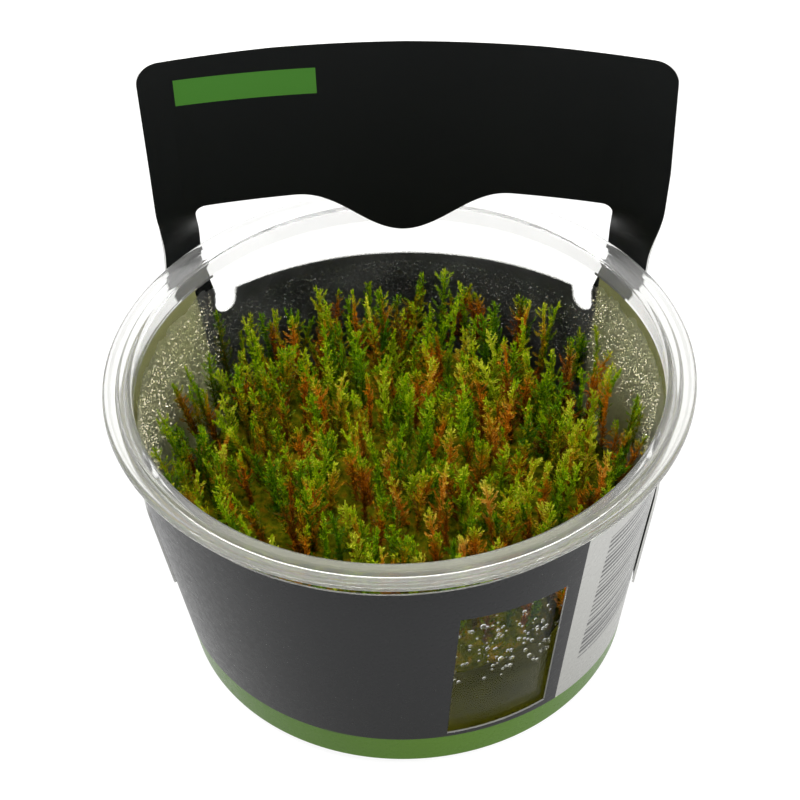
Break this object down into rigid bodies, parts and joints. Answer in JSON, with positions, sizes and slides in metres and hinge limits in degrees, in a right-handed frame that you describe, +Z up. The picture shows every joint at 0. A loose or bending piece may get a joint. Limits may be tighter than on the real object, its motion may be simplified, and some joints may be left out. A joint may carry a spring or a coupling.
{
  "type": "moss clump in a clear tub",
  "caption": "Moss mat growing on clear gel in a round see-through tub, with a paper wrap label that has a window and a black header card hooked round the back",
  "frame": {"origin": "centre of the tub's flat base, where it stands", "axes": "+Z is up along the tub's axis, -Y is the front with the label's window, +Y is the back where the header card stands, +X is the right side seen from the front"},
  "size_m": [0.1, 0.1, 0.101],
  "materials": {
    "clear_tub": "clear thermoformed plastic, glossy, with condensation inside",
    "gel": "clear yellowish growing gel, wet and glossy",
    "moss": "soft moss leaves, green to rust brown, slightly damp",
    "label_paper": "coated paper printed dark grey with a green band, white inside",
    "card": "satin card printed black, with pale cut edges"
  },
  "bodies": {
    "root": {"tub": "clear_tub", "growth_gel": "gel", "moss_clump": "moss", "front_label": "label_paper", "header_card": "card"}
  },
  "joints": []
}
